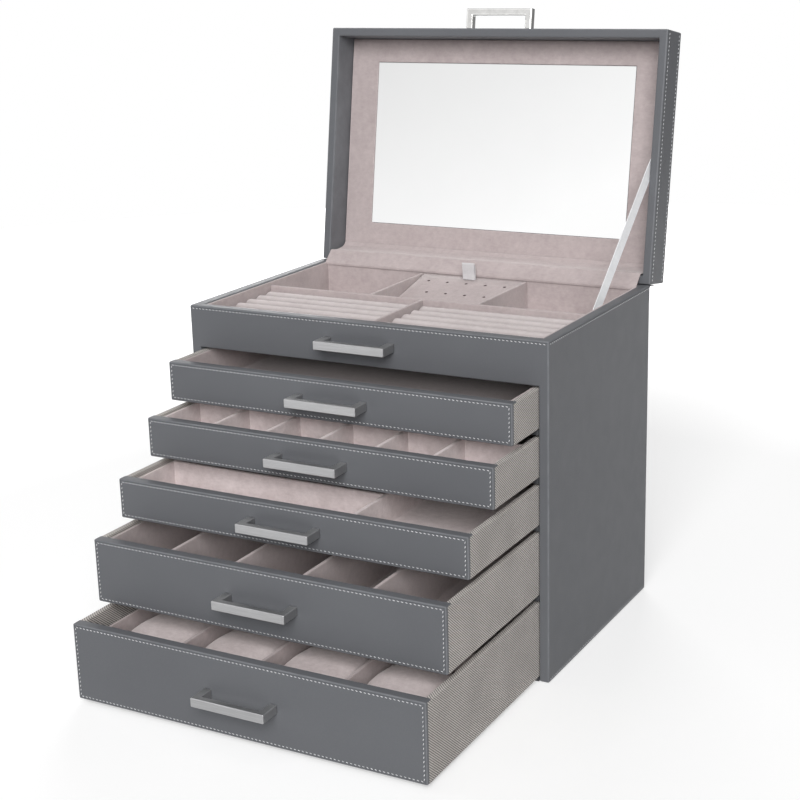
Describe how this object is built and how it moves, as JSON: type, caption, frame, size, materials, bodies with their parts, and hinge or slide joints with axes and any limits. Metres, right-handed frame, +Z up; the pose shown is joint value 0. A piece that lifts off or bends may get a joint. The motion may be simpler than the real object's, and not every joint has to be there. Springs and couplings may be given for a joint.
{
  "type": "jewellery chest with drawers",
  "caption": "Upright leather-covered jewellery chest with sliding drawers, a divided velvet top tray and a hinged lid that carries a mirror.",
  "frame": {"origin": "centre of the cabinet's underside, on the surface it stands on", "axes": "+Z up; -Y is the front, the way the drawers pull out; +X to the right when facing +Y"},
  "size_m": [0.33, 0.4929, 0.511],
  "materials": {
    "grey_leather": "smooth grained leather-look cover with pale stitching, satin",
    "dark_board": "covered board, matt",
    "taupe_velvet": "short velvet pile, matt",
    "woven_cloth": "coarse two-tone weave, matt",
    "brushed_nickel": "brushed, satin",
    "mirror_glass": "polished",
    "satin_ribbon": "satin ribbon, soft sheen"
  },
  "bodies": {
    "cabinet": {"side_panel_left": "grey_leather", "side_panel_right": "grey_leather", "back_panel": "grey_leather", "bottom_panel": "dark_board", "shelf_1": "grey_leather", "shelf_2": "grey_leather", "shelf_3": "grey_leather", "shelf_4": "grey_leather", "tray_deck": "dark_board", "front_fascia": "grey_leather", "fascia_pull": "brushed_nickel", "tray_lining": "taupe_velvet", "tray_cross_divider": "taupe_velvet", "ring_divider": "taupe_velvet", "earring_divider_left": "taupe_velvet", "ring_cushion_left": "taupe_velvet", "earring_divider_right": "taupe_velvet", "ring_cushion_right": "taupe_velvet", "hinge_strip": "grey_leather", "hinge_lining": "taupe_velvet", "lid_stay": "satin_ribbon"},
    "lid": {"lid_wall_left": "grey_leather", "lid_wall_right": "grey_leather", "lid_wall_front": "grey_leather", "lid_wall_rear": "grey_leather", "lid_panel": "grey_leather", "lid_pull": "brushed_nickel", "lid_lining": "taupe_velvet", "mirror": "mirror_glass"},
    "flap": {"earring_board": "taupe_velvet", "earring_tab": "satin_ribbon"},
    "drawer_1": {"drawer_1_front": "grey_leather", "drawer_1_pull": "brushed_nickel", "drawer_1_box": "woven_cloth", "drawer_1_insert": "taupe_velvet"},
    "drawer_2": {"drawer_2_front": "grey_leather", "drawer_2_pull": "brushed_nickel", "drawer_2_box": "woven_cloth", "drawer_2_insert": "taupe_velvet"},
    "drawer_3": {"drawer_3_front": "grey_leather", "drawer_3_pull": "brushed_nickel", "drawer_3_box": "woven_cloth", "drawer_3_insert": "taupe_velvet"},
    "drawer_4": {"drawer_4_front": "grey_leather", "drawer_4_pull": "brushed_nickel", "drawer_4_box": "woven_cloth", "drawer_4_insert": "taupe_velvet"},
    "drawer_5": {"drawer_5_front": "grey_leather", "drawer_5_pull": "brushed_nickel", "drawer_5_box": "woven_cloth", "drawer_5_insert": "taupe_velvet", "watch_pillow_1": "taupe_velvet", "watch_pillow_2": "taupe_velvet", "watch_pillow_3": "taupe_velvet", "watch_pillow_4": "taupe_velvet"}
  },
  "joints": [
    {"name": "lid_hinge", "type": "hinge", "parent": "cabinet", "child": "lid", "pos_m": [0, 0.108, 0.28115], "axis": [-1, 0, 0], "range_deg": [-99, 0], "deforming": ["hinge_strip", "hinge_lining", "lid_stay"]},
    {"name": "flap_hinge", "type": "hinge", "parent": "cabinet", "child": "flap", "pos_m": [0, 0.0027, 0.2551], "axis": [1, 0, 0], "range_deg": [0, 75]},
    {"name": "drawer_1_slide", "type": "slide", "parent": "cabinet", "child": "drawer_1", "axis": [0, -1, 0], "range_m": [-0.046, 0.146]},
    {"name": "drawer_2_slide", "type": "slide", "parent": "cabinet", "child": "drawer_2", "axis": [0, -1, 0], "range_m": [-0.079, 0.113]},
    {"name": "drawer_3_slide", "type": "slide", "parent": "cabinet", "child": "drawer_3", "axis": [0, -1, 0], "range_m": [-0.121, 0.071]},
    {"name": "drawer_4_slide", "type": "slide", "parent": "cabinet", "child": "drawer_4", "axis": [0, -1, 0], "range_m": [-0.157, 0.035]},
    {"name": "drawer_5_slide", "type": "slide", "parent": "cabinet", "child": "drawer_5", "axis": [0, -1, 0], "range_m": [-0.19, 0.002]}
  ]
}
